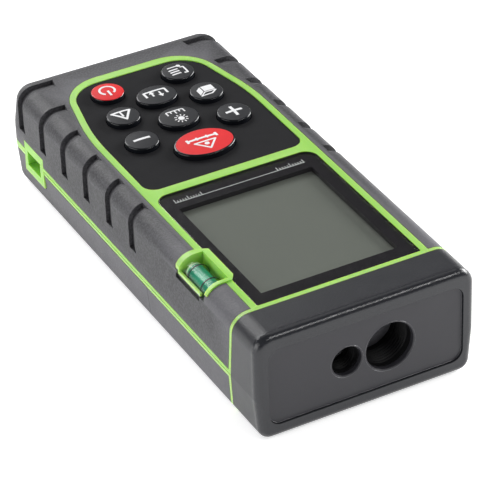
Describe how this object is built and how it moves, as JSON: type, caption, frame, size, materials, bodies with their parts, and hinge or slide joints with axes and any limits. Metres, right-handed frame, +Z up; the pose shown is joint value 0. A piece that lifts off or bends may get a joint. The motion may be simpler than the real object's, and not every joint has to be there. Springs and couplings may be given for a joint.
{
  "type": "laser distance meter",
  "caption": "Handheld laser distance meter with display, keypad, level vial, laser and receiver apertures, green shell and black grips.",
  "frame": {"origin": "middle of the underside, in the plane it rests on", "axes": "+Z up through the keypad, +Y from the laser end to the keypad end, +X to the right seen from the laser end"},
  "size_m": [0.05, 0.116, 0.026],
  "materials": {
    "green_shell": "satin moulded ABS",
    "soft_grip": "fine textured soft overmould",
    "door_plastic": "fine textured soft coat",
    "nose_plastic": "satin black",
    "panel_plastic": "satin dark grey",
    "window_clear": "polished clear acrylic",
    "mask_print": "gloss black print",
    "lcd": "grey-green liquid crystal panel",
    "diffuser": "white light guide",
    "contact_rubber": "matt silicone",
    "keypad_plastic": "matt black",
    "key_black": "black, satin face and gloss rim",
    "key_red": "satin red face, gloss black rim",
    "vial_clear": "polished clear acrylic",
    "plug_plastic": "pale plastic",
    "liquid": "tinted spirit",
    "bubble": "air",
    "ring_print": "black line print",
    "dark_metal": "matt black anodised",
    "dark_plastic": "matt black",
    "lens_glass": "coated optical glass",
    "brass": "turned brass",
    "board": "green solder mask",
    "metal": "plated steel",
    "cell": "printed metal sleeve"
  },
  "bodies": {
    "casing": {"backlight_plate": "diffuser", "battery_left": "cell", "battery_right": "cell", "board_chips": "dark_plastic", "board_screws": "metal", "buzzer": "dark_plastic", "case_screws": "metal", "collimating_lens": "lens_glass", "contact_plates": "metal", "contact_springs": "metal", "detector_board": "board", "display_window": "window_clear", "dome_switches": "metal", "front_panel": "panel_plastic", "key_mat": "contact_rubber", "keypad_plate": "keypad_plastic", "laser_barrel": "dark_metal", "laser_module": "brass", "lcd_connector_strip": "contact_rubber", "lcd_panel": "lcd", "level_vial": "vial_clear", "light_tunnel": "dark_plastic", "lower_grip": "soft_grip", "lower_shell": "green_shell", "main_board": "board", "nose_cap": "nose_plastic", "optical_bench": "dark_plastic", "photodiode": "metal", "receiver_barrel": "dark_metal", "receiver_lens": "lens_glass", "upper_grip": "soft_grip", "upper_shell": "green_shell", "vial_liquid": "liquid", "vial_plugs": "plug_plastic", "vial_rings": "ring_print", "window_mask": "mask_print"},
    "battery_door": {"battery_door": "door_plastic"},
    "bubble": {"vial_bubble": "bubble"},
    "key_angle": {"key_angle": "key_black"},
    "key_minus": {"key_minus": "key_black"},
    "key_off": {"key_off": "key_red"},
    "key_plus": {"key_plus": "key_black"},
    "key_read": {"key_read": "key_red"},
    "key_reference": {"key_reference": "key_black"},
    "key_storage": {"key_storage": "key_black"},
    "key_unit": {"key_unit": "key_black"},
    "key_volume": {"key_volume": "key_black"}
  },
  "joints": [
    {"name": "key_angle_press", "type": "slide", "parent": "casing", "child": "key_angle", "axis": [0, 0, -1], "range_m": [0, 0.0005], "stiffness_N_per_m": 1200},
    {"name": "key_minus_press", "type": "slide", "parent": "casing", "child": "key_minus", "axis": [0, 0, -1], "range_m": [0, 0.0005], "stiffness_N_per_m": 1200},
    {"name": "key_off_press", "type": "slide", "parent": "casing", "child": "key_off", "axis": [0, 0, -1], "range_m": [0, 0.0005], "stiffness_N_per_m": 1200},
    {"name": "key_plus_press", "type": "slide", "parent": "casing", "child": "key_plus", "axis": [0, 0, -1], "range_m": [0, 0.0005], "stiffness_N_per_m": 1200},
    {"name": "key_read_press", "type": "slide", "parent": "casing", "child": "key_read", "axis": [0, 0, -1], "range_m": [0, 0.0005], "stiffness_N_per_m": 1200},
    {"name": "key_reference_press", "type": "slide", "parent": "casing", "child": "key_reference", "axis": [0, 0, -1], "range_m": [0, 0.0005], "stiffness_N_per_m": 1200},
    {"name": "key_storage_press", "type": "slide", "parent": "casing", "child": "key_storage", "axis": [0, 0, -1], "range_m": [0, 0.0005], "stiffness_N_per_m": 1200},
    {"name": "key_unit_press", "type": "slide", "parent": "casing", "child": "key_unit", "axis": [0, 0, -1], "range_m": [0, 0.0005], "stiffness_N_per_m": 1200},
    {"name": "key_volume_press", "type": "slide", "parent": "casing", "child": "key_volume", "axis": [0, 0, -1], "range_m": [0, 0.0005], "stiffness_N_per_m": 1200},
    {"name": "battery_door_lift", "type": "slide", "parent": "casing", "child": "battery_door", "axis": [0, 0, -1], "range_m": [0, 0.014]},
    {"name": "bubble_slide", "type": "slide", "parent": "casing", "child": "bubble", "axis": [0, 1, 0], "range_m": [-0.0014, 0.0014]}
  ]
}
